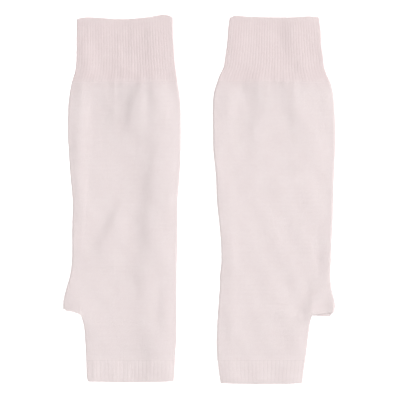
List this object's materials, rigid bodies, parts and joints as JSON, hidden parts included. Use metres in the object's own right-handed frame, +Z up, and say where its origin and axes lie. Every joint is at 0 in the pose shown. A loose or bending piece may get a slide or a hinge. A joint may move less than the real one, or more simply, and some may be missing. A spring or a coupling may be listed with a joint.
{
  "type": "pair of long fingerless knitted gloves",
  "caption": "Pair of long fingerless gloves of soft plain knit, laid flat side by side, with ribbed arm cuffs, short open thumbs and narrow ribbed bands at the hand openings.",
  "frame": {"origin": "on the surface that the pair lies on, under the centre of the pair's bounding box", "axes": "+Y from the hand openings to the arm cuffs, +Z up out of the surface, +X from the left glove to the right glove"},
  "size_m": [0.2456, 0.3333, 0.0061],
  "materials": {
    "jersey_knit": "soft matt plain knit, pale pink",
    "rib_knit": "soft matt ribbed knit, pale pink"
  },
  "bodies": {
    "root": {"left_cuff": "rib_knit", "left_tube": "jersey_knit", "left_thumb": "jersey_knit", "left_band": "rib_knit", "right_cuff": "rib_knit", "right_tube": "jersey_knit", "right_thumb": "jersey_knit", "right_band": "rib_knit"}
  },
  "joints": []
}
